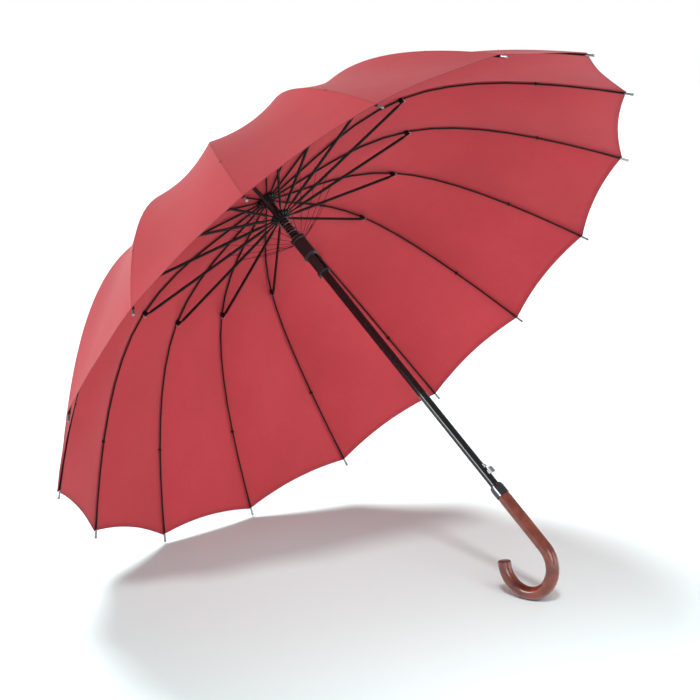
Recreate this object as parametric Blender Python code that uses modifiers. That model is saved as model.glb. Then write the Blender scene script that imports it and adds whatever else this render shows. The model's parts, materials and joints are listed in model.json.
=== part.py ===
"""Stick umbrella, open and lying at rest on two rib tips and its crook handle. Metres, +Z up."""

import math

import bmesh
import bpy
from mathutils import Matrix, Vector

# Frame
RIBS = 16
RIB_STEP = 2 * math.pi / RIBS
PIVOT_RADIUS = 0.014  # of the rib pivots in the notch and the stretcher pivots in the hub
NOTCH_Z = 0.020  # height of the rib pivots above the stretcher joints
HUB_Z = -0.020  # height of the stretcher pivots in the hub
JOINT_RADIUS = 0.273
JOINT_SLOPE = -0.38
JOINT_OFFSET = 0.0034  # from a stretcher joint out to the rib's centreline
TIP_RADIUS = 0.544
TIP_Z = -0.246
TIP_SLOPE = -1.33
INNER_RIB_ROD = 0.0016
OUTER_RIB_ROD = 0.0014
TIP_BALL = 0.0021
TIP_CAP_LENGTH = 0.010
STRETCHER_ROD = 0.0013  # at its two eyes
STRETCHER_SWELL = 1.8  # of the middle over the eyes
ROD_SIDES = 1  # bevel resolution of the thin rods
INNER_STATIONS = 7  # points along the inner rib and the cloth over it
OUTER_STATIONS = 9
CLIP_LENGTH = 0.009
CLIP_HALF_WIDTH = 0.0024
CLIP_SLOT = 0.0016
CLIP_TOP = 0.0017

# Canopy
CLOTH_GAP = 0.0031  # from a rib's centreline to the inside of the cloth
CLOTH = 0.0010
CLOTH_HOLE = 0.009
RIM_SHORT_OF_TIP = 0.012
PANEL_CELLS = 4
RIM_SCALLOP = 0.010
PANEL_SAG = 0.010

# Shaft and the pieces on it
SHAFT_RADIUS = 0.00675
SHAFT_BORE = 0.00595
SHAFT_TOP = 0.0595
SHAFT_BOTTOM = -0.6070
BORE = 0.00705  # every piece round the shaft
TURN_STEPS = 32
FLANGE_RADIUS = 0.0175
SLOT_INNER = 0.0105
SLOT_WIDTH = 0.0034
COLLAR_TOP = -0.588
COLLAR_BOTTOM = -0.608
RUNNER_TOP = -0.068
RUNNER_SHOULDER = -0.108
RUNNER_BOTTOM = -0.146
SLEEVE_RADIUS = 0.0122
TAIL_RADIUS = 0.0092
TAIL_SLOT = 0.0060
SPRING_TOP = -0.0285
SPRING_BOTTOM = -0.0665
SPRING_RADIUS = 0.0088
SPRING_WIRE = 0.0006
SPRING_TURNS = 7
BUTTON_Z = -0.567
CATCH_Z = -0.554

# Handle
HANDLE_RADIUS = 0.0100
HANDLE_TOP = -0.6083
CROOK_Z = -0.706
CROOK_RADIUS = 0.043
CROOK_SWEEP = math.radians(223)


def clear_scene():
    for obj in list(bpy.data.objects):
        bpy.data.objects.remove(obj)


def new_collection(name, hidden=False):
    made = bpy.data.collections.new(name)
    bpy.context.scene.collection.children.link(made)
    made.hide_render = hidden
    return made


clear_scene()
UMBRELLA = new_collection("stick_umbrella")
CUTTERS = new_collection("cutters", hidden=True)


def material(name, colour, roughness, metallic=0.0):
    made = bpy.data.materials.new(name)
    made.use_nodes = True
    shader = made.node_tree.nodes["Principled BSDF"]
    shader.inputs["Base Color"].default_value = (*colour, 1.0)
    shader.inputs["Roughness"].default_value = roughness
    shader.inputs["Metallic"].default_value = metallic
    made.diffuse_color = (*colour, 1.0)
    return made


BLACK_STEEL = material("black_steel", (0.012, 0.012, 0.013), 0.35, 0.6)
SHAFT_BLACK = material("shaft_black", (0.010, 0.010, 0.011), 0.18, 0.3)
BRIGHT_STEEL = material("bright_steel", (0.55, 0.56, 0.57), 0.28, 1.0)
SPRING_STEEL = material("spring_steel", (0.20, 0.20, 0.21), 0.35, 0.9)
BLACK_PLASTIC = material("black_plastic", (0.015, 0.015, 0.016), 0.40)
DARK_CHROME = material("dark_chrome", (0.16, 0.16, 0.17), 0.15, 1.0)
RED_CLOTH = material("red_cloth", (0.47, 0.040, 0.055), 0.80)
WOOD = material("wood", (0.27, 0.050, 0.026), 0.22)


def placed(obj, finish, parent, spot=(0, 0, 0), turn=0.0):
    """Give an object its material and its place in the umbrella's own upright frame."""
    if not obj.data.materials:
        obj.data.materials.append(finish)
    obj.parent = parent
    obj.location = spot
    obj.rotation_euler = (0, 0, turn)
    UMBRELLA.objects.link(obj)
    return obj


def shade_smooth(mesh, angle=math.radians(40)):
    """Smooth shading, with creases kept sharp."""
    held = bmesh.new()
    held.from_mesh(mesh)
    bmesh.ops.remove_doubles(held, verts=held.verts, dist=1e-6)
    bmesh.ops.recalc_face_normals(held, faces=held.faces)
    for edge in held.edges:
        edge.smooth = len(edge.link_faces) == 2 and edge.calc_face_angle(0) < angle
    for face in held.faces:
        face.smooth = True
    held.to_mesh(mesh)
    held.free()


def applied(obj):
    """The object's evaluated shape as a plain mesh; the helper object is removed."""
    CUTTERS.objects.link(obj)
    bpy.context.view_layer.update()
    graph = bpy.context.evaluated_depsgraph_get()
    mesh = bpy.data.meshes.new_from_object(obj.evaluated_get(graph))
    mesh.name = obj.name + "_mesh"
    bpy.data.objects.remove(obj)
    shade_smooth(mesh)
    return mesh


def turned(name, profile, closed=True, steps=TURN_STEPS):
    """A turned mesh from a profile of (radius, z) that runs down its outer side."""
    mesh = bpy.data.meshes.new(name)
    ends = [(i, i + 1) for i in range(len(profile) - 1)]
    if closed:
        ends.append((len(profile) - 1, 0))
    mesh.from_pydata([(radius, 0, z) for radius, z in profile], ends, [])
    obj = bpy.data.objects.new(name, mesh)
    screw = obj.modifiers.new("turn", "SCREW")
    screw.steps = steps
    screw.render_steps = steps
    screw.use_merge_vertices = True
    screw.merge_threshold = 1e-5
    return applied(obj)


def rod(name, points, base, shares=None, sides=ROD_SIDES, caps=True):
    """A round rod along points in the XZ plane or space, with its radius scaled by shares."""
    curve = bpy.data.curves.new(name, "CURVE")
    curve.dimensions = "3D"
    curve.bevel_depth = base
    curve.bevel_resolution = sides
    curve.use_fill_caps = caps
    line = curve.splines.new("POLY")
    line.points.add(len(points) - 1)
    for i, spot in enumerate(points):
        line.points[i].co = (*spot, 1.0)
        line.points[i].radius = shares[i] if shares else 1.0
    return applied(bpy.data.objects.new(name, curve))


def box(name, low, high):
    """An axis-aligned box mesh between two corners."""
    mesh = bpy.data.meshes.new(name)
    held = bmesh.new()
    bmesh.ops.create_cube(held, size=1.0)
    size = Vector(high) - Vector(low)
    middle = (Vector(high) + Vector(low)) / 2
    bmesh.ops.scale(held, vec=size, verts=held.verts)
    bmesh.ops.translate(held, vec=middle, verts=held.verts)
    held.to_mesh(mesh)
    held.free()
    return mesh


def joined(name, base, tool, operation):
    """base with tool added or cut away, by an exact boolean."""
    cutter = bpy.data.objects.new(name + "_cutter", tool)
    cutter.display_type = "WIRE"
    cutter.hide_render = True
    CUTTERS.objects.link(cutter)
    obj = bpy.data.objects.new(name, base)
    boolean = obj.modifiers.new(operation.lower(), "BOOLEAN")
    boolean.operation = operation
    boolean.solver = "EXACT"
    boolean.object = cutter
    mesh = applied(obj)
    bpy.data.objects.remove(cutter)
    return mesh


def hermite(start, start_slope, end, end_slope, count):
    """Points of a cubic z(x) with given end slopes, evenly spaced in x."""
    span = end[0] - start[0]
    points = []
    for i in range(count):
        t = i / (count - 1)
        rise = (2 * t**3 - 3 * t**2 + 1) * start[1] + (3 * t**2 - 2 * t**3) * end[1]
        bend = (t**3 - 2 * t**2 + t) * start_slope + (t**3 - t**2) * end_slope
        points.append((start[0] + t * span, rise + bend * span))
    return points


def unit(slope):
    length = math.hypot(1, slope)
    return 1 / length, slope / length


def rib_line(inner_count, outer_count):
    """The rib's centreline as (radius, z): the inner part to the joint, then the outer part."""
    along, down = unit(JOINT_SLOPE)
    elbow = (JOINT_RADIUS - down * JOINT_OFFSET, along * JOINT_OFFSET)
    inner = hermite((PIVOT_RADIUS, NOTCH_Z), 0.0, elbow, JOINT_SLOPE, inner_count)
    outer = hermite(elbow, JOINT_SLOPE, (TIP_RADIUS, TIP_Z), TIP_SLOPE, outer_count)
    return inner, outer


def offset_line(points, distance):
    """A line of (radius, z) moved outwards along its own normal."""
    moved = []
    for i, (radius, z) in enumerate(points):
        before = points[max(i - 1, 0)]
        after = points[min(i + 1, len(points) - 1)]
        run, rise = after[0] - before[0], after[1] - before[1]
        length = math.hypot(run, rise)
        moved.append((radius - rise / length * distance, z + run / length * distance))
    return moved


def inner_rib_mesh():
    """From the notch pivot to just short of the elbow, with the clip that holds the stretcher."""
    inner, _ = rib_line(INNER_STATIONS, 2)
    along, down = unit(JOINT_SLOPE)
    elbow = inner[-1]
    inner[-1] = (elbow[0] - along * 0.0022, elbow[1] - down * 0.0022)
    points = [(radius - PIVOT_RADIUS, 0, z - NOTCH_Z) for radius, z in inner]
    first = [(-0.0016, 0, 0), (-0.0008, 0, 0), (0.0140, 0, -0.0001)]
    shares = [0.6, 0.82, 0.82] + [1.0] * (INNER_STATIONS - 1)
    bar = rod("inner_rib", first + points[1:], INNER_RIB_ROD, shares)
    clip = bpy.data.meshes.new("clip")
    held = bmesh.new()
    foot, lip = -JOINT_OFFSET - 0.0014, -JOINT_OFFSET + 0.0018
    outline = [
        (-CLIP_HALF_WIDTH, foot),
        (-CLIP_SLOT, foot),
        (-CLIP_SLOT, lip),
        (CLIP_SLOT, lip),
        (CLIP_SLOT, foot),
        (CLIP_HALF_WIDTH, foot),
        (CLIP_HALF_WIDTH, CLIP_TOP),
        (-CLIP_HALF_WIDTH, CLIP_TOP),
    ]
    rings = []
    for reach in (-CLIP_LENGTH, -0.0023):
        ring = []
        for side, lift in outline:
            radius = elbow[0] + along * reach - down * lift
            z = elbow[1] + down * reach + along * lift
            ring.append(held.verts.new((radius - PIVOT_RADIUS, side, z - NOTCH_Z)))
        rings.append(ring)
    for i in range(len(outline)):
        j = (i + 1) % len(outline)
        held.faces.new((rings[0][i], rings[0][j], rings[1][j], rings[1][i]))
    held.faces.new(rings[0])
    held.faces.new(list(reversed(rings[1])))
    bmesh.ops.recalc_face_normals(held, faces=held.faces)
    held.to_mesh(clip)
    held.free()
    return joined("inner_rib", bar, clip, "UNION")


def outer_rib_mesh():
    """From a round knuckle at the elbow to the small ball that stands past the cloth."""
    _, outer = rib_line(2, OUTER_STATIONS)
    elbow = outer[0]
    points = [(radius - elbow[0], 0, z - elbow[1]) for radius, z in outer]
    along, down = unit(TIP_SLOPE)
    end = points[-1]
    points[-1] = (end[0] - along * TIP_CAP_LENGTH, 0, end[2] - down * TIP_CAP_LENGTH)
    shares = [1.0] * len(points)
    ratio = TIP_BALL / OUTER_RIB_ROD
    for reach, share in ((-0.0100, 1.3), (-0.0030, 1.3), (-0.0026, ratio), (-0.0006, ratio), (0, 0.8)):
        points.append((end[0] + along * reach, 0, end[2] + down * reach))
        shares.append(share)
    points.insert(0, (-0.0011, 0, 0.0004))
    shares.insert(0, 0.8)
    return rod("outer_rib", points, OUTER_RIB_ROD, shares)


def stretcher_mesh():
    """A straight rod from the rib joint to the hub pivot, with rounded ends."""
    reach = Vector((PIVOT_RADIUS - JOINT_RADIUS, 0, HUB_Z))
    along = reach.normalized()
    end = reach.length
    stations = (
        (-0.0014, 0.6),
        (-0.0006, 1.0),
        (0.0100, 1.0),
        (0.0160, STRETCHER_SWELL),
        (end - 0.0260, STRETCHER_SWELL),
        (end - 0.0140, 1.0),
        (end + 0.0006, 1.0),
        (end + 0.0014, 0.6),
    )
    points = [tuple(along * spot) for spot, _ in stations]
    return rod("stretcher", points, STRETCHER_ROD, [share for _, share in stations])


def slot_cutter(low, high):
    """Sixteen radial slots in one mesh, one for each rib."""
    held = bmesh.new()
    for n in range(RIBS):
        made = bmesh.ops.create_cube(held, size=1.0)["verts"]
        bmesh.ops.scale(held, vec=(0.012, SLOT_WIDTH, high - low), verts=made)
        bmesh.ops.translate(held, vec=(SLOT_INNER + 0.006, 0, (high + low) / 2), verts=made)
        turn = Matrix.Rotation((n + 0.5) * RIB_STEP, 3, "Z")
        bmesh.ops.rotate(held, cent=(0, 0, 0), matrix=turn, verts=made)
    mesh = bpy.data.meshes.new("slots")
    held.to_mesh(mesh)
    held.free()
    return mesh


def slotted(name, profile, low, high):
    return joined(name, turned(name, profile), slot_cutter(low, high), "DIFFERENCE")


def notch_mesh():
    flange = NOTCH_Z + 0.0019
    profile = [
        (BORE, flange),
        (FLANGE_RADIUS, flange),
        (FLANGE_RADIUS, flange - 0.0058),
        (0.0098, flange - 0.0075),
        (0.0092, flange - 0.0150),
        (BORE, flange - 0.0150),
    ]
    return slotted("top_notch", profile, flange - 0.0078, flange + 0.002)


def hub_mesh():
    top = HUB_Z + 0.0055
    profile = [
        (BORE, top + 0.003),
        (0.0094, top + 0.003),
        (0.0098, top),
        (FLANGE_RADIUS, top - 0.0022),
        (FLANGE_RADIUS, top - 0.0080),
        (0.0104, top - 0.0100),
        (0.0104, top - 0.0125),
        (BORE, top - 0.0125),
    ]
    return slotted("stretcher_hub", profile, top - 0.0101, top + 0.001)


def spring_mesh():
    steps = SPRING_TURNS * 10
    points = []
    for i in range(steps + 1):
        turn = 2 * math.pi * i / 10
        z = SPRING_TOP + (SPRING_BOTTOM - SPRING_TOP) * i / steps
        points.append((SPRING_RADIUS * math.cos(turn), SPRING_RADIUS * math.sin(turn), z))
    return rod("opening_spring", points, SPRING_WIRE, sides=0)


def runner_mesh():
    """Sleeve and narrower tail; the tail is slotted where it passes the catch and the button's stem."""
    profile = [
        (BORE, RUNNER_TOP),
        (0.0112, RUNNER_TOP),
        (SLEEVE_RADIUS, RUNNER_TOP - 0.0015),
        (SLEEVE_RADIUS, RUNNER_TOP - 0.0050),
        (0.0110, RUNNER_TOP - 0.0060),
        (0.0110, RUNNER_SHOULDER + 0.004),
        (SLEEVE_RADIUS, RUNNER_SHOULDER + 0.003),
        (SLEEVE_RADIUS, RUNNER_SHOULDER),
        (TAIL_RADIUS, RUNNER_SHOULDER - 0.0012),
        (TAIL_RADIUS, RUNNER_BOTTOM),
        (BORE, RUNNER_BOTTOM),
    ]
    body = turned("lower_runner", profile)
    half = TAIL_SLOT / 2
    cut = box("cut", (0.002, -half, RUNNER_BOTTOM - 0.002), (0.016, half, RUNNER_SHOULDER - 0.0014))
    body = joined("lower_runner", body, cut, "DIFFERENCE")
    fin = box("fin", (-0.0125, -0.0012, RUNNER_BOTTOM + 0.001), (-0.0082, 0.0012, RUNNER_BOTTOM + 0.011))
    return joined("lower_runner", body, fin, "UNION")


def button_mesh():
    """A stem that slides in the shaft wall and a wider head; its origin is on the shaft's surface."""
    stem = box("stem", (-0.0040, -0.0022, -0.0035), (0.0062, 0.0022, 0.0035))
    head = box("head", (0.0052, -0.0042, -0.0048), (0.0076, 0.0042, 0.0048))
    return joined("release_button", stem, head, "UNION")


def catch_mesh():
    """A wedge with its steep side towards the handle; its origin is on the shaft's surface."""
    mesh = bpy.data.meshes.new("runner_catch")
    held = bmesh.new()
    outline = ((-0.0040, 0.0034), (0.0004, 0.0034), (0.0034, -0.0022), (0.0034, -0.0034), (-0.0040, -0.0034))
    rings = [[held.verts.new((x, side, z)) for x, z in outline] for side in (-0.0016, 0.0016)]
    for i in range(len(outline)):
        j = (i + 1) % len(outline)
        held.faces.new((rings[0][i], rings[0][j], rings[1][j], rings[1][i]))
    held.faces.new(rings[0])
    held.faces.new(list(reversed(rings[1])))
    bmesh.ops.recalc_face_normals(held, faces=held.faces)
    held.to_mesh(mesh)
    held.free()
    return mesh


def crook_mesh():
    points = [(0, 0, HANDLE_TOP), (0, 0, (HANDLE_TOP + CROOK_Z) / 2), (0, 0, CROOK_Z)]
    bends = 22
    for i in range(1, bends + 1):
        turn = CROOK_SWEEP * i / bends
        x = CROOK_RADIUS * (math.cos(turn) - 1)
        points.append((x, 0, CROOK_Z - CROOK_RADIUS * math.sin(turn)))
    shares = [1.0] * len(points)
    heading = CROOK_SWEEP
    ahead = Vector((-math.sin(heading), 0, -math.cos(heading)))
    last = Vector(points[-1])
    for reach, share in ((0.0012, 0.97), (0.0022, 0.88), (0.0027, 0.74)):
        points.append(tuple(last + ahead * reach))
        shares.append(share)
    return rod("crook_handle", points, HANDLE_RADIUS, shares, sides=6)


def canopy_mesh():
    """Sixteen cloth panels in one thin dome: gathered at the crown, scalloped at the rim."""
    inner, outer = rib_line(INNER_STATIONS, OUTER_STATIONS)
    line = inner[:-1] + outer
    along, down = unit(TIP_SLOPE)
    line[-1] = (line[-1][0] - along * RIM_SHORT_OF_TIP, line[-1][1] - down * RIM_SHORT_OF_TIP)
    line[0] = (CLOTH_HOLE, NOTCH_Z)
    held = bmesh.new()
    layers = []
    for lift in (CLOTH_GAP, CLOTH_GAP + CLOTH):
        shaped = offset_line(line, lift)
        rows = []
        for i, (radius, z) in enumerate(shaped):
            share = i / (len(shaped) - 1)
            back = shaped[max(i - 1, 0)]
            run, rise = radius - back[0], z - back[1]
            step = math.hypot(run, rise) or 1.0
            row = []
            for k in range(RIBS * PANEL_CELLS):
                across = (k % PANEL_CELLS) / PANEL_CELLS
                bow = 4 * across * (1 - across)
                turn = (0.5 + k / PANEL_CELLS) * RIB_STEP
                chord = math.cos(RIB_STEP / 2) / math.cos((across - 0.5) * RIB_STEP)
                pull = -RIM_SCALLOP * bow * share**6
                sag = -PANEL_SAG * bow * math.sin(math.pi * share**1.4)
                r = radius * chord + run / step * pull - rise / step * sag
                h = z + rise / step * pull + run / step * sag
                row.append(held.verts.new((r * math.cos(turn), r * math.sin(turn), h)))
            rows.append(row)
        layers.append(rows)
    under, over = layers
    count = RIBS * PANEL_CELLS
    for k in range(count):
        j = (k + 1) % count
        for i in range(len(line) - 1):
            held.faces.new((over[i][k], over[i + 1][k], over[i + 1][j], over[i][j]))
            held.faces.new((under[i][j], under[i + 1][j], under[i + 1][k], under[i][k]))
        held.faces.new((over[0][j], under[0][j], under[0][k], over[0][k]))
        held.faces.new((over[-1][k], under[-1][k], under[-1][j], over[-1][j]))
    mesh = bpy.data.meshes.new("canopy")
    held.to_mesh(mesh)
    held.free()
    shade_smooth(mesh)
    return mesh


def ferrule_mesh():
    profile = [
        (0.0, 0.0960),
        (0.0032, 0.0960),
        (0.0042, 0.0945),
        (0.0062, 0.0640),
        (0.0082, 0.0610),
        (0.0082, 0.0345),
        (BORE, 0.0345),
        (BORE, 0.0600),
        (0.0, 0.0600),
    ]
    return turned("tip_ferrule", profile, closed=False)


def cap_mesh():
    profile = [
        (BORE, 0.0340),
        (0.0092, 0.0340),
        (0.0100, 0.0290),
        (0.0165, 0.0258),
        (0.0165, 0.0245),
        (BORE, 0.0245),
    ]
    return turned("crown_cap", profile)


def shaft_mesh():
    """A tube with two windows in its wall, for the button's stem and the catch."""
    profile = [
        (SHAFT_BORE, SHAFT_TOP),
        (SHAFT_RADIUS, SHAFT_TOP),
        (SHAFT_RADIUS, SHAFT_BOTTOM),
        (SHAFT_BORE, SHAFT_BOTTOM),
    ]
    mesh = turned("shaft_tube", profile)
    for z, half_width in ((BUTTON_Z, 0.0025), (CATCH_Z, 0.0019)):
        window = box("window", (0.003, -half_width, z - 0.0039), (0.010, half_width, z + 0.0039))
        mesh = joined("shaft_tube", mesh, window, "DIFFERENCE")
    return mesh


def collar_mesh():
    profile = [
        (BORE, COLLAR_TOP),
        (0.0086, COLLAR_TOP),
        (0.0098, COLLAR_TOP - 0.0015),
        (0.0106, COLLAR_TOP - 0.0060),
        (0.0106, COLLAR_BOTTOM),
        (BORE, COLLAR_BOTTOM),
    ]
    return turned("handle_collar", profile)


def empty(name, parent=None):
    made = bpy.data.objects.new(name, None)
    made.parent = parent
    UMBRELLA.objects.link(made)
    return made


def lying_tilt():
    """The angle of the shaft below level when two rib tips and the crook touch one floor."""
    reach = TIP_RADIUS * math.cos(RIB_STEP / 2) - CROOK_RADIUS
    drop = TIP_Z - CROOK_Z
    spare = CROOK_RADIUS + HANDLE_RADIUS - TIP_BALL
    return math.acos(spare / math.hypot(reach, drop)) - math.atan2(drop, reach)


def rest_on_floor(root):
    """Move the whole umbrella so that the middle of its box's bottom face is at the origin."""
    bpy.context.view_layer.update()
    graph = bpy.context.evaluated_depsgraph_get()
    spots = []
    for obj in UMBRELLA.objects:
        if obj.type != "MESH":
            continue
        mesh = obj.evaluated_get(graph).data
        spots += [obj.matrix_world @ vertex.co for vertex in mesh.vertices]
    low = Vector([min(spot[i] for spot in spots) for i in range(3)])
    high = Vector([max(spot[i] for spot in spots) for i in range(3)])
    root.location = (-(low.x + high.x) / 2, -(low.y + high.y) / 2, -low.z)


def add(name, mesh, finish, parent, spot=(0, 0, 0), turn=0.0):
    mesh.name = name
    return placed(bpy.data.objects.new(name, mesh), finish, parent, spot, turn)


def build():
    root = empty("umbrella_frame")
    add("shaft_tube", shaft_mesh(), SHAFT_BLACK, root)
    add("tip_ferrule", ferrule_mesh(), BRIGHT_STEEL, root)
    add("crown_cap", cap_mesh(), BLACK_PLASTIC, root)
    add("top_notch", notch_mesh(), BLACK_PLASTIC, root)
    add("canopy", canopy_mesh(), RED_CLOTH, root)
    add("stretcher_hub", hub_mesh(), BLACK_PLASTIC, root)
    add("opening_spring", spring_mesh(), SPRING_STEEL, root)
    add("lower_runner", runner_mesh(), BLACK_PLASTIC, root)
    add("release_button", button_mesh(), BRIGHT_STEEL, root, (SHAFT_RADIUS, 0, BUTTON_Z))
    add("runner_catch", catch_mesh(), BRIGHT_STEEL, root, (SHAFT_RADIUS, 0, CATCH_Z))
    add("handle_collar", collar_mesh(), DARK_CHROME, root)
    add("crook_handle", crook_mesh(), WOOD, root)
    inner_rib, outer_rib, stretcher = inner_rib_mesh(), outer_rib_mesh(), stretcher_mesh()
    elbow = rib_line(2, 2)[0][-1]
    for n in range(RIBS):
        turn = (n + 0.5) * RIB_STEP
        out = Vector((math.cos(turn), math.sin(turn), 0))
        label = f"{n + 1:02d}"
        spot = out * PIVOT_RADIUS + Vector((0, 0, NOTCH_Z))
        add("inner_rib_" + label, inner_rib, BLACK_STEEL, root, spot, turn)
        spot = out * elbow[0] + Vector((0, 0, elbow[1]))
        add("outer_rib_" + label, outer_rib, BLACK_STEEL, root, spot, turn)
        add("stretcher_" + label, stretcher, BLACK_STEEL, root, out * JOINT_RADIUS, turn)
    root.rotation_euler = (0, lying_tilt() - math.pi / 2, 0)
    rest_on_floor(root)


build()
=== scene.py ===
"""An open stick umbrella lying on two rib tips and its crook handle."""

import json
import math

import bmesh
import bpy
from mathutils import Matrix, Vector, noise

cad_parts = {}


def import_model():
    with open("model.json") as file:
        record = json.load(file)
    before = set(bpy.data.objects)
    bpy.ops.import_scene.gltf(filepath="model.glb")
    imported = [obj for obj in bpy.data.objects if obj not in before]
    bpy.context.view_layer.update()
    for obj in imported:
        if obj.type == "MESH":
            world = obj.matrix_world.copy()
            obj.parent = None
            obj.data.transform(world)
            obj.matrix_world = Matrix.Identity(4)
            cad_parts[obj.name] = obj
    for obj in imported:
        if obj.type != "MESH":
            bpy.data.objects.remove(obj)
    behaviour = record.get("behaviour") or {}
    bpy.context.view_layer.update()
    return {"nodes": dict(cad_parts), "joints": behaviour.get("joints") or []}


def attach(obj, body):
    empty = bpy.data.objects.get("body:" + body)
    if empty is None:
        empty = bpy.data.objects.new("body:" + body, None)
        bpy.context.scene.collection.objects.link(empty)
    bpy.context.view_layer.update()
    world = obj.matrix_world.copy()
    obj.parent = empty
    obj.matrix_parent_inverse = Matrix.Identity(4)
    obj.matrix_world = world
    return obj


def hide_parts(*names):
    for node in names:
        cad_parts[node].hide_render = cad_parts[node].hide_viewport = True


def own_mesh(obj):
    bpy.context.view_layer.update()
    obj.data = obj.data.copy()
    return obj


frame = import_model()

# The umbrella's own upright frame: +Z towards the ferrule, metres. These repeat the part's dimensions.
RIBS = 16
STEP = 2 * math.pi / RIBS
PIVOT_RADIUS = 0.014
NOTCH_Z = 0.020
HUB_Z = -0.020
JOINT_RADIUS = 0.273
JOINT_SLOPE = -0.38
JOINT_OFFSET = 0.0034
TIP_RADIUS = 0.544
TIP_Z = -0.246
TIP_SLOPE = -1.33
CLOTH_LIFT = 0.0034  # from a rib's centreline to the cloth
CLOTH_HOLE = 0.0092
RIM_SHORT_OF_TIP = 0.0125
RIM_SCALLOP = 0.010
PANEL_SAG = 0.010
RUNNER_TOP = -0.068
RUNNER_SHOULDER = -0.108
RUNNER_BOTTOM = -0.146
HANDLE_RADIUS = 0.0100
HANDLE_TOP = -0.6083
CROOK_Z = -0.706
CROOK_RADIUS = 0.043
CROOK_SWEEP = math.radians(223)
WIRE_RADIUS = 0.00045  # of the rings and trims
STAY_RADIUS = 0.00042  # of the stay wires
STAY_HOOK = 0.0021
THREAD_PITCH = 0.0007
STITCH_PITCH = 0.0028
RUNNER_RING = 0.0118  # where the stay wires leave the runner
STAY_SPAN = 0.088  # how far along a stretcher its stay wire takes hold
CAP_LENGTH = 0.0105  # the plated end of a rib, past the cloth
TIE_RADIUS = 0.0026
TIE_HALF_LENGTH = 0.0011
THREAD_RADIUS = 0.00055
SHARP_EDGE = math.radians(40)

JOINTS = {joint["name"]: joint for joint in frame["joints"]}
PIVOTS = [JOINTS["fold" if n == 0 else f"rib_{n + 1:02d}"]["pos_m"] for n in range(RIBS)]
UP = Vector(JOINTS["runner_slide"]["axis"]).normalized()
SIDE = Vector((0, 1, 0))
AHEAD = SIDE.cross(UP)
CENTRE = sum((Vector(spot) for spot in PIVOTS), Vector()) / RIBS - UP * NOTCH_Z
UPRIGHT = Matrix((AHEAD, SIDE, UP)).transposed()


def world(x, y, z):
    """A point of the umbrella's own frame, in the row frame."""
    return CENTRE + UPRIGHT @ Vector((x, y, z))


def rib_turn(n):
    return (n + 0.5) * STEP


def label(n):
    return f"{n + 1:02d}"


# Materials


class Paint:
    """A node material under construction."""

    def __init__(self, name, roughness=0.5, metallic=0.0):
        self.material = bpy.data.materials.new(name)
        self.material.use_nodes = True
        self.tree = self.material.node_tree
        self.shader = self.tree.nodes["Principled BSDF"]
        self.shader.inputs["Roughness"].default_value = roughness
        self.shader.inputs["Metallic"].default_value = metallic

    def node(self, kind, **settings):
        made = self.tree.nodes.new(kind)
        for key, value in settings.items():
            setattr(made, key, value)
        return made

    def link(self, start, end):
        self.tree.links.new(start, end)

    def put(self, value, socket):
        if isinstance(value, bpy.types.NodeSocket):
            self.link(value, socket)
        else:
            socket.default_value = value

    def math(self, operation, first, second=0.0):
        made = self.node("ShaderNodeMath", operation=operation)
        for value, socket in zip((first, second), made.inputs):
            self.put(value, socket)
        return made.outputs[0]

    def coords(self, scale=(1, 1, 1), uv=None):
        if uv:
            source = self.node("ShaderNodeUVMap", uv_map=uv).outputs[0]
        else:
            source = self.node("ShaderNodeTexCoord").outputs["Object"]
        mapping = self.node("ShaderNodeMapping")
        mapping.inputs["Scale"].default_value = scale
        self.link(source, mapping.inputs[0])
        return mapping.outputs[0]

    def noise(self, vector, scale, detail=3.0, rough=0.5, distortion=0.0):
        made = self.node("ShaderNodeTexNoise")
        self.link(vector, made.inputs["Vector"])
        made.inputs["Scale"].default_value = scale
        made.inputs["Detail"].default_value = detail
        made.inputs["Roughness"].default_value = rough
        made.inputs["Distortion"].default_value = distortion
        return made.outputs[0]

    def ramp(self, value, stops):
        made = self.node("ShaderNodeValToRGB")
        elements = made.color_ramp.elements
        while len(elements) < len(stops):
            elements.new(0.5)
        for element, (spot, colour) in zip(elements, stops):
            element.position = spot
            element.color = (*colour, 1.0)
        self.link(value, made.inputs[0])
        return made.outputs[0]

    def span(self, value, low, high, to_low, to_high):
        made = self.node("ShaderNodeMapRange")
        for item, socket in zip((value, low, high, to_low, to_high), made.inputs):
            self.put(item, socket)
        return made.outputs[0]

    def mix(self, share, first, second):
        made = self.node("ShaderNodeMix", data_type="RGBA")
        self.put(share, made.inputs[0])
        for value, socket in ((first, made.inputs[6]), (second, made.inputs[7])):
            self.put(value if isinstance(value, bpy.types.NodeSocket) else (*value, 1.0), socket)
        return made.outputs[2]

    def bump(self, height, strength, distance):
        made = self.node("ShaderNodeBump")
        made.inputs["Strength"].default_value = strength
        made.inputs["Distance"].default_value = distance
        self.link(height, made.inputs["Height"])
        self.link(made.outputs[0], self.shader.inputs["Normal"])
        return made.outputs[0]

    def set(self, **values):
        for key, value in values.items():
            self.put(value, self.shader.inputs[key.replace("_", " ")])


def split(paint, vector):
    made = paint.node("ShaderNodeSeparateXYZ")
    paint.link(vector, made.inputs[0])
    return made.outputs


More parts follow.
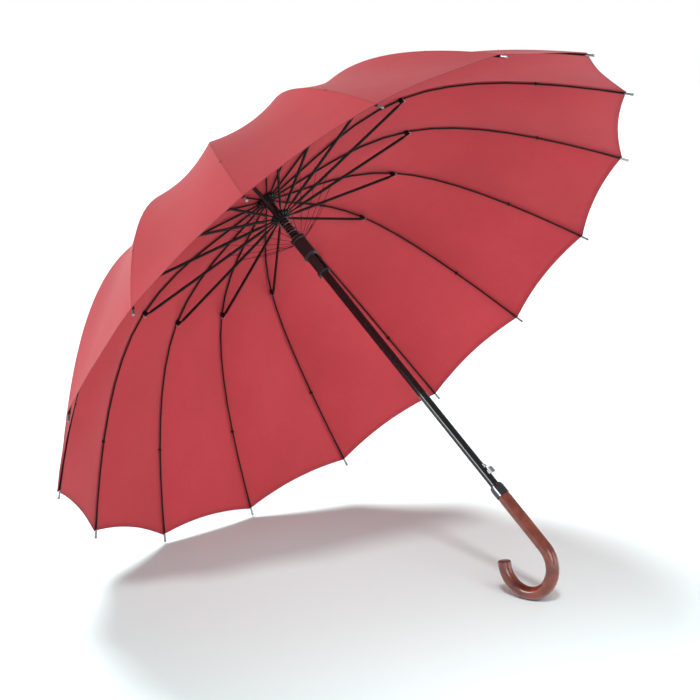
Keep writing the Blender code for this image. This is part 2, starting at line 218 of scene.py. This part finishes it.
def cloth_material():
    """Fine plain weave with slubs, flat-felled seams over the ribs and a stitched hem, with painted shade
    along the hem's rolled edge.
    """
    paint = Paint("umbrella_cloth", roughness=0.62)
    across, along, _ = split(paint, paint.coords(uv="cloth"))
    to_seam, to_rim, _ = split(paint, paint.coords(uv="edges"))
    warp = paint.math("SINE", paint.math("MULTIPLY", across, 2 * math.pi / THREAD_PITCH))
    weft = paint.math("SINE", paint.math("MULTIPLY", along, 2 * math.pi / THREAD_PITCH))
    weave = paint.math("MULTIPLY", warp, weft)
    slub_warp = paint.noise(paint.coords(uv="cloth", scale=(900, 22, 1)), 1.0, 2.0)
    slub_weft = paint.noise(paint.coords(uv="cloth", scale=(22, 900, 1)), 1.0, 2.0)
    slubs = paint.math("ADD", slub_warp, slub_weft)
    broad = paint.noise(paint.coords(), 7.0, 3.0)
    fine = paint.noise(paint.coords(), 60.0, 2.0)
    shade = paint.math("ADD", paint.math("MULTIPLY", slubs, 0.45), paint.math("MULTIPLY", broad, 0.7))
    shade = paint.math("ADD", shade, paint.math("MULTIPLY", fine, 0.15))
    colour = paint.ramp(
        paint.math("MULTIPLY", shade, 0.62),
        [(0.25, (0.39, 0.031, 0.042)), (0.5, (0.47, 0.039, 0.052)), (0.75, (0.55, 0.050, 0.065))],
    )
    seam_far = paint.math("ABSOLUTE", to_seam)
    seam = paint.span(seam_far, 0.0024, 0.0030, 1.0, 0.0)
    hem = paint.span(to_rim, 0.0055, 0.0062, 1.0, 0.0)
    doubled = paint.math("MAXIMUM", seam, hem)

    def stitches(distance, run, line):
        off = paint.math("ABSOLUTE", paint.math("SUBTRACT", distance, line))
        row = paint.span(off, 0.00018, 0.00040, 1.0, 0.0)
        beat = paint.math("SINE", paint.math("MULTIPLY", run, 2 * math.pi / STITCH_PITCH))
        return paint.math("MULTIPLY", row, paint.span(beat, -0.5, 0.0, 0.0, 1.0))

    thread = paint.math("MAXIMUM", stitches(seam_far, along, 0.0019), stitches(to_rim, across, 0.0048))
    colour = paint.mix(paint.math("MULTIPLY", doubled, 0.28), colour, (0.30, 0.015, 0.025))
    # Painted shade: the cloth is darkened within 1.2 mm of the rim, where the hem rolls under.
    hem_fold_painted_shade = paint.span(to_rim, 0.0, 0.0012, 0.75, 0.0)
    colour = paint.mix(hem_fold_painted_shade, colour, (0.16, 0.012, 0.020))
    colour = paint.mix(paint.math("MULTIPLY", thread, 0.6), colour, (0.62, 0.07, 0.09))
    height = paint.math("MULTIPLY", weave, 0.05)
    height = paint.math("ADD", height, paint.math("MULTIPLY", slubs, 0.10))
    height = paint.math("ADD", height, paint.math("MULTIPLY", doubled, 0.7))
    height = paint.math("SUBTRACT", height, paint.math("MULTIPLY", thread, 0.4))
    normal = paint.bump(height, 0.55, 0.0005)
    rough = paint.span(slubs, 0.7, 1.3, 0.55, 0.68)
    paint.set(Base_Color=colour, Roughness=rough, Sheen_Weight=0.30, Sheen_Roughness=0.4)
    paint.shader.inputs["Sheen Tint"].default_value = (1.0, 0.55, 0.55, 1.0)
    paint.shader.inputs["Specular IOR Level"].default_value = 0.28
    through = paint.node("ShaderNodeBsdfTranslucent")
    paint.link(colour, through.inputs["Color"])
    paint.link(normal, through.inputs["Normal"])
    blend = paint.node("ShaderNodeMixShader")
    blend.inputs[0].default_value = 0.07
    paint.link(paint.shader.outputs[0], blend.inputs[1])
    paint.link(through.outputs[0], blend.inputs[2])
    output = next(n for n in paint.tree.nodes if n.type == "OUTPUT_MATERIAL")
    paint.link(blend.outputs[0], output.inputs["Surface"])
    return paint.material


def black_metal(name, base, rough, coat=0.0):
    """Black lacquer on steel: fine orange peel, dust and small scuffs."""
    paint = Paint(name, roughness=rough)
    spots = paint.coords()
    peel = paint.noise(spots, 900.0, 2.0)
    dust = paint.noise(spots, 240.0, 4.0, 0.65)
    scuffs = paint.noise(paint.coords(), 45.0, 5.0, 0.7, 0.6)
    mask = paint.span(scuffs, 0.62, 0.72, 0.0, 1.0)
    colour = paint.mix(paint.math("MULTIPLY", dust, 0.25), base, tuple(c * 2.2 for c in base))
    colour = paint.mix(paint.math("MULTIPLY", mask, 0.35), colour, (0.04, 0.04, 0.043))
    paint.bump(paint.math("ADD", peel, paint.math("MULTIPLY", mask, 0.5)), 0.12, 0.0002)
    paint.set(Base_Color=colour, Roughness=paint.span(dust, 0.3, 0.7, rough * 0.8, rough * 1.3))
    paint.set(Coat_Weight=coat, Coat_Roughness=0.06, Specular_IOR_Level=0.15)
    return paint


def steel(name, tint, rough):
    """Bright plated steel with fine drawn lines and finger marks."""
    paint = Paint(name, roughness=rough, metallic=1.0)
    lines = paint.noise(paint.coords(scale=(1400, 1400, 60)), 1.0, 3.0)
    marks = paint.noise(paint.coords(), 70.0, 4.0, 0.6)
    colour = paint.mix(paint.span(marks, 0.35, 0.7, 0.0, 0.6), tint, tuple(c * 0.7 for c in tint))
    paint.set(Base_Color=colour, Roughness=paint.span(lines, 0.3, 0.7, rough * 0.75, rough * 1.35))
    paint.bump(lines, 0.10, 0.0001)
    return paint.material


def plastic():
    paint = Paint("black_moulded_plastic", roughness=0.38)
    grain = paint.noise(paint.coords(), 1500.0, 2.0)
    flow = paint.noise(paint.coords(scale=(1, 1, 3)), 90.0, 3.0)
    colour = paint.mix(flow, (0.005, 0.005, 0.0055), (0.012, 0.012, 0.013))
    paint.set(Base_Color=colour, Roughness=paint.span(flow, 0.3, 0.7, 0.30, 0.48))
    paint.bump(grain, 0.15, 0.0002)
    return paint.material


def wood_material():
    """Red-stained hardwood under gloss varnish: grain runs along the handle."""
    paint = Paint("stained_wood", roughness=0.34)
    wander = paint.noise(paint.coords(uv="grain", scale=(9, 2, 1)), 1.0, 2.0)
    run = split(paint, paint.coords(uv="grain"))[0]
    bands = paint.noise(paint.coords(uv="grain", scale=(14, 9, 1)), 1.0, 4.0, 0.55, 1.4)
    fibres = paint.noise(paint.coords(uv="grain", scale=(45, 90, 1)), 1.0, 3.0, 0.6, 0.4)
    pores = paint.noise(paint.coords(uv="grain", scale=(160, 150, 1)), 1.0, 2.0, 0.5)
    tone = paint.math("ADD", paint.math("MULTIPLY", bands, 0.62), paint.math("MULTIPLY", fibres, 0.30))
    tone = paint.math("ADD", tone, paint.math("MULTIPLY", wander, 0.10))
    colour = paint.ramp(
        tone,
        [
            (0.30, (0.055, 0.009, 0.006)),
            (0.44, (0.135, 0.022, 0.011)),
            (0.56, (0.250, 0.044, 0.020)),
            (0.72, (0.350, 0.072, 0.032)),
        ],
    )
    pore = paint.span(pores, 0.62, 0.70, 0.0, 0.55)
    colour = paint.mix(pore, colour, (0.055, 0.008, 0.005))
    end = paint.span(run, 0.0, 0.004, 0.65, 0.0)
    colour = paint.mix(end, colour, (0.05, 0.008, 0.005))
    paint.bump(paint.math("SUBTRACT", fibres, pore), 0.12, 0.0003)
    paint.set(Base_Color=colour, Roughness=paint.span(fibres, 0.3, 0.7, 0.28, 0.42))
    paint.set(Coat_Weight=0.75, Coat_Roughness=0.09)
    return paint.material


def rib_material():
    """Black lacquer that gives way to the plated cap past the cloth."""
    paint = black_metal("rib_lacquer", (0.005, 0.0045, 0.005), 0.42)
    height = paint.node("ShaderNodeVectorMath", operation="DOT_PRODUCT")
    paint.link(paint.node("ShaderNodeTexCoord").outputs["Object"], height.inputs[0])
    height.inputs[1].default_value = UP
    foot = CENTRE.dot(UP) + TIP_Z + CAP_LENGTH
    cap = paint.span(height.outputs["Value"], foot - 0.0002, foot + 0.0002, 1.0, 0.0)
    colour = paint.shader.inputs["Base Color"].links[0].from_socket
    rough = paint.shader.inputs["Roughness"].links[0].from_socket
    paint.set(
        Base_Color=paint.mix(cap, colour, (0.24, 0.24, 0.25)),
        Roughness=paint.math("SUBTRACT", rough, paint.math("MULTIPLY", cap, 0.1)),
        Metallic=cap,
    )
    return paint.material


CLOTH = cloth_material()
RIB = rib_material()
ROD = black_metal("rod_lacquer", (0.005, 0.0045, 0.005), 0.40).material
TUBE = black_metal("shaft_gloss", (0.005, 0.005, 0.006), 0.25, coat=0.7).material
PLASTIC = plastic()
BRIGHT = steel("bright_steel", (0.62, 0.62, 0.64), 0.24)
SPRING = steel("spring_steel", (0.20, 0.20, 0.21), 0.34)
COLLAR = steel("dark_chrome", (0.13, 0.135, 0.15), 0.16)
WOOD = wood_material()


# Geometry


def finish_piece(obj, body, material):
    obj.data.materials.clear()
    obj.data.materials.append(material)
    bpy.context.scene.collection.objects.link(obj)
    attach(obj, body)
    return obj


def hermite(start, start_slope, end, end_slope, count):
    span = end[0] - start[0]
    points = []
    for i in range(count):
        t = i / (count - 1)
        rise = (2 * t**3 - 3 * t**2 + 1) * start[1] + (3 * t**2 - 2 * t**3) * end[1]
        bend = (t**3 - 2 * t**2 + t) * start_slope + (t**3 - t**2) * end_slope
        points.append((start[0] + t * span, rise + bend * span))
    return points


def unit(slope):
    length = math.hypot(1, slope)
    return 1 / length, slope / length


JOINT_RUN, JOINT_DROP = unit(JOINT_SLOPE)
ELBOW = (JOINT_RADIUS - JOINT_DROP * JOINT_OFFSET, JOINT_RUN * JOINT_OFFSET)
INNER = hermite((PIVOT_RADIUS, NOTCH_Z), 0.0, ELBOW, JOINT_SLOPE, 60)
OUTER = hermite(ELBOW, JOINT_SLOPE, (TIP_RADIUS, TIP_Z), TIP_SLOPE, 70)
LINE = [(0.0, NOTCH_Z)] + INNER + OUTER[1:]
REACH = [0.0]
for before, after in zip(LINE, LINE[1:]):
    REACH.append(REACH[-1] + math.dist(before, after))
RIM = REACH[-1] - RIM_SHORT_OF_TIP
ELBOW_REACH = REACH[60]


def on_line(reach):
    """The rib's centreline at a distance from the shaft's axis: (radius, z, run, rise)."""
    i = 0
    while i < len(REACH) - 2 and REACH[i + 1] < reach:
        i += 1
    share = (reach - REACH[i]) / (REACH[i + 1] - REACH[i])
    (r0, z0), (r1, z1) = LINE[i], LINE[i + 1]
    length = math.hypot(r1 - r0, z1 - z0)
    return r0 + share * (r1 - r0), z0 + share * (z1 - z0), (r1 - r0) / length, (z1 - z0) / length


def smooth_line(reach):
    low, high = on_line(max(reach - 0.006, 0.0)), on_line(min(reach + 0.006, REACH[-1]))
    spot = on_line(reach)
    run, rise = low[2] + high[2], low[3] + high[3]
    length = math.hypot(run, rise)
    return spot[0], spot[1], run / length, rise / length


def cloth_point(n, side, reach, lift=CLOTH_LIFT):
    """The cloth at side -1..1 across rib n's own strip, from mid-panel to mid-panel."""
    radius, z, run, rise = smooth_line(reach)
    share = max(0.0, (reach - CLOTH_HOLE) / (RIM - CLOTH_HOLE))
    across = abs(side) / 2
    bow = 4 * across * (1 - across)
    chord = math.cos(STEP / 2) / math.cos((across - 0.5) * STEP)
    turn = rib_turn(n) + side * STEP / 2
    pull = -RIM_SCALLOP * bow * share**6
    sag = -PANEL_SAG * bow * math.sin(math.pi * share**1.4)
    radius, z = radius - rise * lift, z + run * lift
    r = radius * chord + run * pull - rise * sag
    h = z + rise * pull + run * sag
    ripple = noise.noise(Vector((r * math.cos(turn), r * math.sin(turn), h)) * 11.0) * bow
    pucker = noise.noise(Vector((r * math.cos(turn), r * math.sin(turn), h)) * 34.0) * bow * (1 - bow)
    push = 0.0016 * ripple * share + 0.0012 * pucker * share
    r, h = r - rise * push, h + run * push
    return Vector((r * math.cos(turn), r * math.sin(turn), h))


def cloth_normal(n, side, reach, lift):
    """Outward normal of the cloth, one-sided in side so that the rib keeps its crease."""
    toward = 1 if side >= 0 else -1
    ds, dr = 0.02, 0.002
    first = cloth_point(n, side, reach, lift)
    if abs(side) > 0.99:  # mid-panel, where the next rib's strip goes on
        near_side = first - cloth_point(n, side - toward * ds, reach, lift)
        far_side = cloth_point(n + toward, -side + toward * ds, reach, lift) - first
        over = (near_side + far_side) * toward
    else:
        over = (cloth_point(n, side + toward * ds, reach, lift) - first) * toward
    down = cloth_point(n, side, reach + dr, lift) - cloth_point(n, side, reach - dr, lift)
    return over.cross(down).normalized() * (-1 if over.cross(down).z < 0 else 1)


def strip(n, name, low, high, rows, body, keep, hem=False):
    """One rib's strip of cloth between two distances from the axis."""
    mesh = bpy.data.meshes.new(name)
    cells = 8
    sides = [i / cells for i in range(-cells, 0)] + [0.0, 0.0] + [i / cells for i in range(1, cells + 1)]
    halves = [-1] * (cells + 1) + [1] * (cells + 1)
    stations = [(low + (high - low) * i / rows, CLOTH_LIFT) for i in range(rows + 1)]
    if hem:
        stations += [(high + 0.0004, CLOTH_LIFT - 0.00025), (high, CLOTH_LIFT - 0.0005)]
        stations += [(high - 0.002 * i, CLOTH_LIFT - 0.0005) for i in (1, 2, 3)]
    spots, normals, weave, edges = [], [], [], []
    for i, (reach, lift) in enumerate(stations):
        back = hem and i > rows
        for side, half in zip(sides, halves):
            spot = cloth_point(n, side, reach, lift)
            near = side if side else half * 1e-6
            normal = cloth_normal(n, near, min(reach, RIM), lift)
            if back:
                normal = -normal if i > rows + 1 else Vector(on_rim(n, side))
            spots.append(spot)
            normals.append(UPRIGHT @ normal)
            width = (cloth_point(n, half, reach, lift) - cloth_point(n, 0, reach, lift)).length
            weave.append(((abs(side) - 1) * half * width, reach))
            edges.append((side * width, RIM - min(reach, 2 * RIM - reach)))
    count = len(sides)
    faces = []
    for i in range(len(stations) - 1):
        for k in range(count - 1):
            if k == cells:
                continue
            a = i * count + k
            faces.append((a, a + count, a + count + 1, a + 1))
    mesh.from_pydata([world(*spot) for spot in spots], [], faces)
    for layer, values in (("cloth", weave), ("edges", edges)):
        uv = mesh.uv_layers.new(name=layer)
        for loop in mesh.loops:
            uv.data[loop.index].uv = values[loop.vertex_index]
    mesh.shade_smooth()
    mesh.normals_split_custom_set([normals[loop.vertex_index] for loop in mesh.loops])
    obj = finish_piece(bpy.data.objects.new(name, mesh), body, CLOTH)
    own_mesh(obj)
    return obj


def on_rim(n, side):
    """The direction out of the rim, along the cloth."""
    out = cloth_point(n, side, RIM) - cloth_point(n, side, RIM - 0.004)
    return out.normalized()


BANDS = (  # the four inner strips: from, to, rows, share of the width kept when folded
    (CLOTH_HOLE, 0.033, 4, 0.80),
    (0.033, 0.072, 5, 0.50),
    (0.072, 0.142, 8, 0.31),
    (0.142, ELBOW_REACH, 13, 0.165),
)
RIM_KEEP = 0.085  # the same share for the outer strip


def canopy():
    """Five strips of cloth on every rib: four on its inner body, the rim strip on its outer body."""
    for n in range(RIBS):
        for i, (low, high, rows, keep) in enumerate(BANDS):
            name = f"cloth_{label(n)}_{'abcd'[i]}"
            strip(n, name, low, high, rows, "inner_" + label(n), keep)
        name = f"cloth_{label(n)}_rim"
        main = strip(n, name, ELBOW_REACH, RIM, 30, "outer_" + label(n), RIM_KEEP, hem=True)
        if n == 0:
            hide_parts("canopy")


def grid_mesh(name, rings, uv=None, caps=False):
    """A mesh through rings of points; uv gives (along, round) in metres for each point."""
    mesh = bpy.data.meshes.new(name)
    count = len(rings[0])
    faces = []
    for i in range(len(rings) - 1):
        for k in range(count):
            j = (k + 1) % count
            faces.append((i * count + k, i * count + j, (i + 1) * count + j, (i + 1) * count + k))
    if caps:
        faces.append(tuple(reversed(range(count))))
        faces.append(tuple(range((len(rings) - 1) * count, len(rings) * count)))
    mesh.from_pydata([world(*spot) for ring in rings for spot in ring], [], faces)
    if uv:
        layer = mesh.uv_layers.new(name="grain")
        for polygon in mesh.polygons:
            for loop in polygon.loop_indices:
                i, k = divmod(mesh.loops[loop].vertex_index, count)
                at_seam = any(mesh.loops[o].vertex_index % count == count - 1 for o in polygon.loop_indices)
                if k == 0 and at_seam:
                    k = count
                layer.data[loop].uv = uv(i, k)
    held = bmesh.new()
    held.from_mesh(mesh)
    bmesh.ops.recalc_face_normals(held, faces=held.faces)
    held.to_mesh(mesh)
    held.free()
    mesh.shade_smooth()
    return mesh


def tube_rings(points, radii, sides=16, normal=Vector((0, 1, 0))):
    """Rings round a line that stays in the plane square to normal."""
    rings = []
    for i, spot in enumerate(points):
        before, after = points[max(i - 1, 0)], points[min(i + 1, len(points) - 1)]
        along = (after - before).normalized()
        out = along.cross(normal).normalized()
        ring = []
        for k in range(sides):
            turn = 2 * math.pi * k / sides
            ring.append(spot + out * (radii[i] * math.cos(turn)) + normal * (radii[i] * math.sin(turn)))
        rings.append(ring)
    return rings


CROOK_END = (  # how far past the bend, and the share of the handle's radius there
    (0.0010, 0.985),
    (0.0018, 0.94),
    (0.0024, 0.86),
    (0.0027, 0.72),
    (0.0028, 0.40),
    (0.0028, 0.02),
)


def crook():
    """The bent handle with its rounded end, slightly waisted below the collar."""
    points = []
    straight = HANDLE_TOP - CROOK_Z
    for i in range(15):
        points.append(Vector((0, 0, HANDLE_TOP - straight * i / 14)))
    bends = 60
    for i in range(1, bends + 1):
        turn = CROOK_SWEEP * i / bends
        x = CROOK_RADIUS * (math.cos(turn) - 1)
        points.append(Vector((x, 0, CROOK_Z - CROOK_RADIUS * math.sin(turn))))
    ahead = Vector((-math.sin(CROOK_SWEEP), 0, -math.cos(CROOK_SWEEP)))
    radii = [HANDLE_RADIUS] * len(points)
    radii[0] *= 0.955
    last = points[-1]
    for reach, share in CROOK_END:
        points.append(last + ahead * reach)
        radii.append(HANDLE_RADIUS * share)
    run = [0.0]
    for before, after in zip(points, points[1:]):
        run.append(run[-1] + (after - before).length)
    total = run[-1]
    sides = 40
    rings = tube_rings(points, radii, sides)

    def uv(i, k):
        return total - run[i], HANDLE_RADIUS * 2 * math.pi * k / sides

    mesh = grid_mesh("crook_wood", rings, uv=uv)
    obj = finish_piece(bpy.data.objects.new("crook_wood", mesh), "shaft", WOOD)
    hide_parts("crook_handle")


def ring_wire(name, radius, z, body, material):
    """A wire ring round the shaft's axis."""
    rings = []
    for k in range(96):
        turn = 2 * math.pi * k / 96
        centre = Vector((radius * math.cos(turn), radius * math.sin(turn), z))
        out = Vector((math.cos(turn), math.sin(turn), 0))
        ring = []
        for i in range(8):
            angle = 2 * math.pi * i / 8
            up = Vector((0, 0, WIRE_RADIUS * math.sin(angle)))
            ring.append(centre + out * (WIRE_RADIUS * math.cos(angle)) + up)
        rings.append(ring)
    rings.append(rings[0])
    mesh = grid_mesh(name, rings)
    return finish_piece(bpy.data.objects.new(name, mesh), body, material)


def stay_wires():
    """Fine wires from the runner's top ring out to the stretchers."""
    for n in range(RIBS):
        turn = rib_turn(n)
        out = Vector((math.cos(turn), math.sin(turn), 0))
        side = Vector((-math.sin(turn), math.cos(turn), 0))
        start = out * RUNNER_RING + Vector((0, 0, RUNNER_TOP - 0.0032))
        share = STAY_SPAN / math.dist((PIVOT_RADIUS, HUB_Z), (JOINT_RADIUS, 0))
        reach = PIVOT_RADIUS + share * (JOINT_RADIUS - PIVOT_RADIUS)
        height = HUB_Z * (1 - share)
        end = out * reach + Vector((0, 0, height - 0.0012))
        points, radii = [], []
        for i in range(13):
            t = i / 12
            droop = Vector((0, 0, -0.0022 * 4 * t * (1 - t)))
            points.append(start.lerp(end, t) + droop)
            radii.append(STAY_RADIUS)
        hook = []
        for i in range(1, 9):
            angle = math.pi * 1.7 * i / 8
            lift = Vector((0, 0, STAY_HOOK)) * (1 - math.cos(angle))
            hook.append(end + lift + out * (STAY_HOOK * math.sin(angle)))
        points += hook
        radii += [STAY_RADIUS] * len(hook)
        rings = tube_rings(points, radii, 6, side)
        mesh = grid_mesh("stay_wire_" + label(n), rings)
        obj = finish_piece(bpy.data.objects.new("stay_wire_" + label(n), mesh), "runner", ROD)
        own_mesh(obj)


PIN_HEAD = (  # (radius, place along the pin) of one domed head
    (0.0002, -0.0033),
    (0.0010, -0.0031),
    (0.0014, -0.0026),
    (0.0014, -0.00245),
    (0.0007, -0.0024),
)


def rivets():
    """A domed pin through each clip where a stretcher meets its rib."""
    for n in range(RIBS):
        turn = rib_turn(n)
        out = Vector((math.cos(turn), math.sin(turn), 0))
        side = Vector((-math.sin(turn), math.cos(turn), 0))
        centre = out * JOINT_RADIUS
        rings = []
        for r, h in PIN_HEAD + tuple((r, -h) for r, h in reversed(PIN_HEAD)):
            ring = []
            for k in range(12):
                angle = 2 * math.pi * k / 12
                up = Vector((0, 0, r * math.sin(angle)))
                ring.append(centre + side * h + out * (r * math.cos(angle)) + up)
            rings.append(ring)
        name = "joint_pin_" + label(n)
        mesh = grid_mesh(name, rings, caps=True)
        finish_piece(bpy.data.objects.new(name, mesh), "inner_" + label(n), BRIGHT)


def smooth_group():
    """Smooth shading with edges over SHARP_EDGE kept sharp, as a modifier."""
    group = bpy.data.node_groups.new("shade_by_angle", "GeometryNodeTree")
    group.interface.new_socket("Geometry", in_out="INPUT", socket_type="NodeSocketGeometry")
    group.interface.new_socket("Geometry", in_out="OUTPUT", socket_type="NodeSocketGeometry")
    start, end = group.nodes.new("NodeGroupInput"), group.nodes.new("NodeGroupOutput")
    faces = group.nodes.new("GeometryNodeSetShadeSmooth")
    edges = group.nodes.new("GeometryNodeSetShadeSmooth")
    edges.domain = "EDGE"
    edges.inputs["Shade Smooth"].default_value = False
    angle = group.nodes.new("GeometryNodeInputMeshEdgeAngle")
    over = group.nodes.new("ShaderNodeMath")
    over.operation = "GREATER_THAN"
    over.inputs[1].default_value = SHARP_EDGE
    link = group.links.new
    link(start.outputs[0], faces.inputs[0])
    link(faces.outputs[0], edges.inputs[0])
    link(angle.outputs["Unsigned Angle"], over.inputs[0])
    link(over.outputs[0], edges.inputs["Selection"])
    link(edges.outputs[0], end.inputs[0])
    return group


def dress_cad():
    """Finishes for the CAD nodes that stay."""
    finishes = {
        "shaft_tube": TUBE,
        "tip_ferrule": BRIGHT,
        "crown_cap": PLASTIC,
        "top_notch": PLASTIC,
        "stretcher_hub": PLASTIC,
        "opening_spring": SPRING,
        "lower_runner": PLASTIC,
        "release_button": BRIGHT,
        "runner_catch": BRIGHT,
        "handle_collar": COLLAR,
    }
    group = smooth_group()
    for name, obj in frame["nodes"].items():
        if name in ("canopy", "crook_handle"):
            continue
        if name.startswith("outer_rib"):
            chosen = RIB
        else:
            chosen = finishes.get(name, ROD)
        obj.data.materials.clear()
        obj.data.materials.append(chosen)
        smooth = obj.modifiers.new("smooth", "NODES")
        smooth.node_group = group


def bands():
    """Narrow plated trims on the runner."""
    spots = (
        ("runner_top_band", RUNNER_TOP - 0.0002, RUNNER_RING),
        ("runner_waist_band", RUNNER_SHOULDER + 0.0012, 0.0124),
        ("runner_tail_band", RUNNER_BOTTOM + 0.0022, 0.0094),
    )
    for name, z, radius in spots:
        ring_wire(name, radius, z, "runner", COLLAR)


def ties():
    """A thread tie holds each seam to its rib, part of the way to the rim."""
    for n in range(RIBS):
        radius, z, run, rise = smooth_line(ELBOW_REACH + 0.60 * (RIM - ELBOW_REACH))
        turn = rib_turn(n)
        out = Vector((math.cos(turn), math.sin(turn), 0))
        side = Vector((-math.sin(turn), math.cos(turn), 0))
        along = out * run + Vector((0, 0, rise))
        across = out * -rise + Vector((0, 0, run))
        centre = out * radius + Vector((0, 0, z)) + across * 0.0004
        name = "thread_tie_" + label(n)
        rings = []
        for wrap in range(49):
            angle = 2 * math.pi * wrap / 16
            around = side * math.cos(angle) + across * math.sin(angle)
            ring_centre = centre + along * (TIE_HALF_LENGTH * (wrap / 24 - 1)) + around * TIE_RADIUS
            ring = []
            for k in range(6):
                angle = 2 * math.pi * k / 6
                out_of_thread = around * math.cos(angle) + along * math.sin(angle)
                ring.append(ring_centre + out_of_thread * THREAD_RADIUS)
            rings.append(ring)
        mesh = grid_mesh(name, rings, caps=True)
        finish_piece(bpy.data.objects.new(name, mesh), "outer_" + label(n), ROD)


SKY_STOPS = [(0.05, (1.0, 1.0, 1.0)), (0.12, (0.34, 0.34, 0.34)), (1.0, (0.34, 0.34, 0.34))]
SUNS = (  # name, strength, spread, azimuth, height, what it lights
    ("floor_back", 3.4, 24, 150, 53, "floor"),
    ("floor_front", 1.3, 7, 303, 50, "floor"),
    ("front", 0.9, 30, 318, 20, "umbrella"),
    ("left", 2.05, 30, 228, 24, "umbrella"),
    ("right", 0.9, 40, 20, 12, "umbrella"),
)
# Soft lamps that reach only the floor: name, watts, size, colour, place, aim, whether it casts shadows.
POOLS = (
    ("floor_pool", 6.0, 0.6, (1.0, 1.0, 1.0), (1.00, -0.45, 0.62), (0.80, -0.18, 0.0), True),
    ("shade_fill", 0.40, 0.5, (0.30, 1.0, 1.0), (-0.22, -0.04, 0.36), (-0.22, -0.04, 0.0), False),
)
STRIP_TURN = math.radians(-40)  # how far round the shaft the strip stands from the camera
STRIP_AWAY = 1.4  # from the shaft, metres


def studio_sky():
    """White towards the horizon and dimmer overhead."""
    sky = bpy.data.worlds.new("studio_white")
    sky.use_nodes = True
    nodes, link = sky.node_tree.nodes, sky.node_tree.links.new
    background = nodes["Background"]
    parts = nodes.new("ShaderNodeSeparateXYZ")
    ramp = nodes.new("ShaderNodeValToRGB")
    elements = ramp.color_ramp.elements
    elements.new(0.5)
    for element, (spot, colour) in zip(elements, SKY_STOPS):
        element.position = spot
        element.color = (*colour, 1.0)
    link(nodes.new("ShaderNodeTexCoord").outputs["Generated"], parts.inputs[0])
    link(parts.outputs[2], ramp.inputs[0])
    link(ramp.outputs[0], background.inputs["Color"])
    background.inputs["Strength"].default_value = 1.0
    return sky


def strip_light(scene, camera):
    """A long narrow softbox parallel to the shaft, for the bright line along it."""
    middle = world(0, 0, -0.45)
    across = camera.location - middle
    across = (across - UP * across.dot(UP)).normalized()
    toward = Matrix.Rotation(STRIP_TURN, 3, UP) @ across
    lamp = bpy.data.lights.new("strip", "AREA")
    lamp.shape = "RECTANGLE"
    lamp.size, lamp.size_y = 1.5, 0.35
    lamp.energy = 20.0
    holder = bpy.data.objects.new("strip", lamp)
    facing = Matrix((UP, toward.cross(UP), toward)).transposed().to_4x4()
    holder.matrix_world = Matrix.Translation(middle + toward * STRIP_AWAY) @ facing
    holder.visible_camera = False
    scene.collection.objects.link(holder)
    lit = bpy.data.collections.new("light_shaft")
    for name in ("shaft_tube", "lower_runner", "handle_collar"):
        lit.objects.link(frame["nodes"][name])
    holder.light_linking.receiver_collection = lit


FLOOR_Z = -0.0002  # just under the lowest point
CAMERA_PLACE = (1.7029, -1.9616, 0.7694)
CAMERA_TURN = (80.73, 1.615, 40.906)  # degrees
CAMERA_LENS = 86.247


def studio():
    """The camera, the floor, and lamps that reach the floor, the umbrella or the shaft alone."""
    scene = bpy.context.scene
    scene.view_settings.view_transform = "Standard"
    camera_data = bpy.data.cameras.new("camera")
    camera_data.lens = CAMERA_LENS
    camera_data.sensor_width = 36
    camera = bpy.data.objects.new("camera", camera_data)
    camera.location = CAMERA_PLACE
    camera.rotation_euler = [math.radians(a) for a in CAMERA_TURN]
    scene.collection.objects.link(camera)
    scene.camera = camera
    floor_mesh = bpy.data.meshes.new("floor")
    held = bmesh.new()
    bmesh.ops.create_grid(held, x_segments=1, y_segments=1, size=60)
    held.to_mesh(floor_mesh)
    held.free()
    floor = bpy.data.objects.new("floor", floor_mesh)
    floor.location.z = FLOOR_Z
    scene.collection.objects.link(floor)
    paint = Paint("white_floor", roughness=0.6)
    tone = paint.noise(paint.coords(), 3.0, 2.0)
    paint.set(Base_Color=paint.mix(tone, (0.80, 0.92, 0.92), (0.81, 0.93, 0.93)))
    paint.shader.inputs["Specular IOR Level"].default_value = 0.1
    floor_mesh.materials.append(paint.material)
    scene.world = studio_sky()
    groups = {}
    for group, state in (("floor", "INCLUDE"), ("umbrella", "EXCLUDE")):
        groups[group] = bpy.data.collections.new("light_" + group)
        groups[group].objects.link(floor)
        groups[group].collection_objects[0].light_linking.link_state = state
    for name, strength, spread, azimuth, height, lit in SUNS:
        lamp = bpy.data.lights.new(name, "SUN")
        lamp.energy = strength
        lamp.angle = math.radians(spread)
        holder = bpy.data.objects.new(name, lamp)
        a, e = math.radians(azimuth), math.radians(height)
        toward = Vector((math.cos(a) * math.cos(e), math.sin(a) * math.cos(e), math.sin(e)))
        holder.rotation_euler = toward.to_track_quat("Z", "Y").to_euler()
        scene.collection.objects.link(holder)
        holder.light_linking.receiver_collection = groups[lit]
    for name, watts, size, colour, place, aim, shadows in POOLS:
        lamp = bpy.data.lights.new(name, "AREA")
        lamp.energy = watts
        lamp.size = size
        lamp.color = colour
        lamp.use_shadow = shadows
        holder = bpy.data.objects.new(name, lamp)
        holder.location = place
        holder.rotation_euler = (Vector(place) - Vector(aim)).to_track_quat("Z", "Y").to_euler()
        holder.visible_camera = False
        scene.collection.objects.link(holder)
        holder.light_linking.receiver_collection = groups["floor"]
    strip_light(scene, camera)


dress_cad()
canopy()
crook()
ring_wire("notch_wire", PIVOT_RADIUS, NOTCH_Z, "shaft", BRIGHT)
ring_wire("hub_wire", PIVOT_RADIUS, HUB_Z, "hub", BRIGHT)
stay_wires()
rivets()
bands()
ties()
studio()
